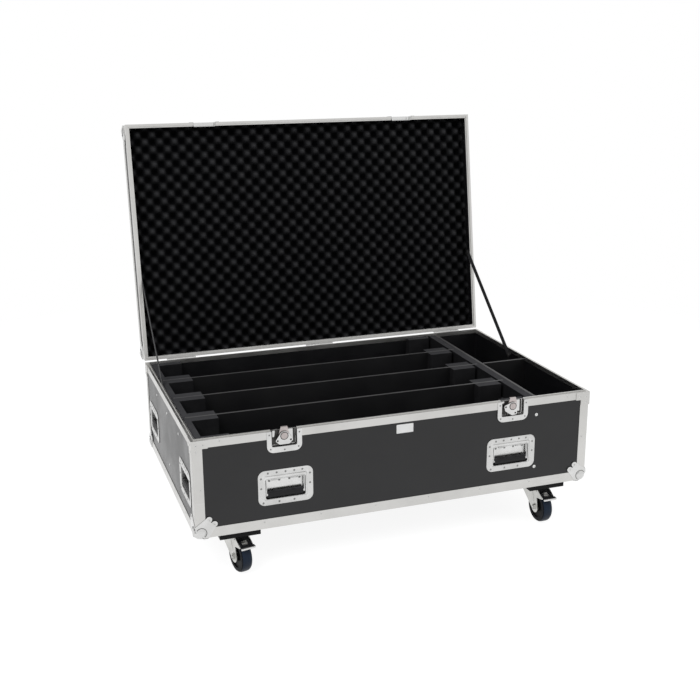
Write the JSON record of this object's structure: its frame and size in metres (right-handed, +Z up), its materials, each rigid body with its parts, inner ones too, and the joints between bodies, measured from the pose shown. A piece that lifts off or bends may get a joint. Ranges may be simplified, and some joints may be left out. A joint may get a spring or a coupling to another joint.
{
  "type": "lighting flight case",
  "caption": "Wheeled flight case for stage lights: black panels in aluminium edges, recessed latches and handles, foam-lined lid held open by webbing stays, padded divided base.",
  "frame": {"origin": "on the floor, under the middle of the open case's bounding box", "axes": "+X along the case to the right as seen from the latches, +Y from the latches to the hinges, +Z up"},
  "size_m": [1.258, 1.028, 1.2228],
  "materials": {
    "black_laminate": "black textured laminate on plywood",
    "aluminium": "satin",
    "zinc_steel": "zinc plated",
    "black_foam": "matt open-cell foam",
    "black_rubber": "ribbed",
    "blue_tyre": "smooth",
    "black_webbing": "woven",
    "black_board": "matt black paint"
  },
  "bodies": {
    "base": {"ball_corner_back_left": "zinc_steel", "ball_corner_back_right": "zinc_steel", "ball_corner_front_left": "zinc_steel", "ball_corner_front_right": "zinc_steel", "base_edge_frame": "aluminium", "base_lip_front": "aluminium", "base_tub": "black_laminate", "caster_board_back_left": "black_board", "caster_board_back_right": "black_board", "caster_board_front_left": "black_board", "caster_board_front_right": "black_board", "cross_divider": "black_laminate", "handle_dish_front_left": "zinc_steel", "handle_dish_front_right": "zinc_steel", "handle_dish_left_back": "zinc_steel", "handle_dish_left_front": "zinc_steel", "handle_dish_right_back": "zinc_steel", "handle_dish_right_front": "zinc_steel", "hinge_base_leaf_centre": "zinc_steel", "hinge_base_leaf_left": "zinc_steel", "hinge_base_leaf_right": "zinc_steel", "latch_dish_left": "zinc_steel", "latch_dish_right": "zinc_steel", "left_end_foam": "black_foam", "long_divider_1": "black_laminate", "long_divider_2": "black_laminate", "long_divider_3": "black_laminate", "right_end_foam": "black_foam", "short_divider": "black_laminate", "stay_strap_left": "black_webbing", "stay_strap_right": "black_webbing"},
    "lid": {"hinge_lid_leaf_centre": "zinc_steel", "hinge_lid_leaf_left": "zinc_steel", "hinge_lid_leaf_right": "zinc_steel", "latch_catch_left": "zinc_steel", "latch_catch_right": "zinc_steel", "lid_edge_frame": "aluminium", "lid_foam": "black_foam", "lid_rim_front": "aluminium", "lid_tray": "black_laminate"},
    "pedal_front_left": {"brake_pedal_front_left": "zinc_steel"},
    "pedal_front_right": {"brake_pedal_front_right": "zinc_steel"},
    "swivel_back_left": {"caster_fork_back_left": "zinc_steel"},
    "swivel_back_right": {"caster_fork_back_right": "zinc_steel"},
    "swivel_front_left": {"caster_fork_front_left": "zinc_steel"},
    "swivel_front_right": {"caster_fork_front_right": "zinc_steel"},
    "wheel_back_left": {"caster_wheel_back_left": "blue_tyre"},
    "wheel_back_right": {"caster_wheel_back_right": "blue_tyre"},
    "wheel_front_left": {"caster_wheel_front_left": "blue_tyre"},
    "wheel_front_right": {"caster_wheel_front_right": "blue_tyre"},
    "grip_front_left": {"handle_grip_front_left": "black_rubber"},
    "grip_front_right": {"handle_grip_front_right": "black_rubber"},
    "grip_left_back": {"handle_grip_left_back": "black_rubber"},
    "grip_left_front": {"handle_grip_left_front": "black_rubber"},
    "grip_right_back": {"handle_grip_right_back": "black_rubber"},
    "grip_right_front": {"handle_grip_right_front": "black_rubber"},
    "hook_left": {"latch_hook_left": "zinc_steel"},
    "hook_right": {"latch_hook_right": "zinc_steel"},
    "key_left": {"latch_key_left": "zinc_steel"},
    "key_right": {"latch_key_right": "zinc_steel"}
  },
  "joints": [
    {"name": "lid_hinge", "type": "hinge", "parent": "base", "child": "lid", "pos_m": [0, 0.303, 0.434], "axis": [1, 0, 0], "range_deg": [0, 98.67], "deforming": ["stay_strap_left", "stay_strap_right"]},
    {"name": "grip_front_left_lift", "type": "hinge", "parent": "base", "child": "grip_front_left", "pos_m": [-0.359, -0.4865, 0.2885], "axis": [-1, 0, 0], "range_deg": [0, 90], "stiffness_Nm_per_rad": 0.2, "springref_deg": -17.19},
    {"name": "grip_front_right_lift", "type": "hinge", "parent": "base", "child": "grip_front_right", "pos_m": [0.359, -0.4865, 0.2885], "axis": [-1, 0, 0], "range_deg": [0, 90], "stiffness_Nm_per_rad": 0.2, "springref_deg": -17.19},
    {"name": "grip_left_front_lift", "type": "hinge", "parent": "base", "child": "grip_left_front", "pos_m": [-0.618, -0.3655, 0.2885], "axis": [0, 1, 0], "range_deg": [0, 90], "stiffness_Nm_per_rad": 0.2, "springref_deg": -17.19},
    {"name": "grip_left_back_lift", "type": "hinge", "parent": "base", "child": "grip_left_back", "pos_m": [-0.618, 0.1705, 0.2885], "axis": [0, 1, 0], "range_deg": [0, 90], "stiffness_Nm_per_rad": 0.2, "springref_deg": -17.19},
    {"name": "grip_right_front_lift", "type": "hinge", "parent": "base", "child": "grip_right_front", "pos_m": [0.618, -0.3655, 0.2885], "axis": [0, -1, 0], "range_deg": [0, 90], "stiffness_Nm_per_rad": 0.2, "springref_deg": -17.19},
    {"name": "grip_right_back_lift", "type": "hinge", "parent": "base", "child": "grip_right_back", "pos_m": [0.618, 0.1705, 0.2885], "axis": [0, -1, 0], "range_deg": [0, 90], "stiffness_Nm_per_rad": 0.2, "springref_deg": -17.19},
    {"name": "key_left_turn", "type": "hinge", "parent": "base", "child": "key_left", "pos_m": [-0.36, -0.4935, 0.417], "axis": [0, 1, 0], "range_deg": [0, 180]},
    {"name": "hook_left_tilt", "type": "hinge", "parent": "base", "child": "hook_left", "pos_m": [-0.36, -0.488, 0.398], "axis": [1, 0, 0], "range_deg": [-8, 0]},
    {"name": "key_right_turn", "type": "hinge", "parent": "base", "child": "key_right", "pos_m": [0.36, -0.4935, 0.417], "axis": [0, 1, 0], "range_deg": [0, 180]},
    {"name": "hook_right_tilt", "type": "hinge", "parent": "base", "child": "hook_right", "pos_m": [0.36, -0.488, 0.398], "axis": [1, 0, 0], "range_deg": [-8, 0]},
    {"name": "swivel_front_left", "type": "hinge", "parent": "base", "child": "swivel_front_left", "pos_m": [-0.495, -0.4215, 0.12], "axis": [0, 0, 1], "continuous": true},
    {"name": "roll_front_left", "type": "hinge", "parent": "swivel_front_left", "child": "wheel_front_left", "pos_m": [-0.48902, -0.4509, 0.05], "axis": [0.9799, 0.1994, 0], "continuous": true},
    {"name": "brake_front_left_press", "type": "hinge", "parent": "swivel_front_left", "child": "pedal_front_left", "pos_m": [-0.48742, -0.45874, 0.1067], "axis": [0.9799, 0.1994, 0], "range_deg": [0, 12]},
    {"name": "swivel_front_right", "type": "hinge", "parent": "base", "child": "swivel_front_right", "pos_m": [0.495, -0.4215, 0.12], "axis": [0, 0, 1], "continuous": true},
    {"name": "roll_front_right", "type": "hinge", "parent": "swivel_front_right", "child": "wheel_front_right", "pos_m": [0.49552, -0.4515, 0.05], "axis": [0.9998, 0.0175, 0], "continuous": true},
    {"name": "brake_front_right_press", "type": "hinge", "parent": "swivel_front_right", "child": "pedal_front_right", "pos_m": [0.49566, -0.4595, 0.1067], "axis": [0.9998, 0.0175, 0], "range_deg": [0, 12]},
    {"name": "swivel_back_left", "type": "hinge", "parent": "base", "child": "swivel_back_left", "pos_m": [-0.495, 0.2265, 0.12], "axis": [0, 0, 1], "continuous": true},
    {"name": "roll_back_left", "type": "hinge", "parent": "swivel_back_left", "child": "wheel_back_left", "pos_m": [-0.495, 0.1965, 0.05], "axis": [1, 0, 0], "continuous": true},
    {"name": "swivel_back_right", "type": "hinge", "parent": "base", "child": "swivel_back_right", "pos_m": [0.495, 0.2265, 0.12], "axis": [0, 0, 1], "continuous": true},
    {"name": "roll_back_right", "type": "hinge", "parent": "swivel_back_right", "child": "wheel_back_right", "pos_m": [0.495, 0.1965, 0.05], "axis": [1, 0, 0], "continuous": true}
  ],
  "couplings": [
    {"joint": "hook_left_tilt", "follows": "key_left_turn", "ratio": -0.044444},
    {"joint": "hook_right_tilt", "follows": "key_right_turn", "ratio": -0.044444}
  ]
}
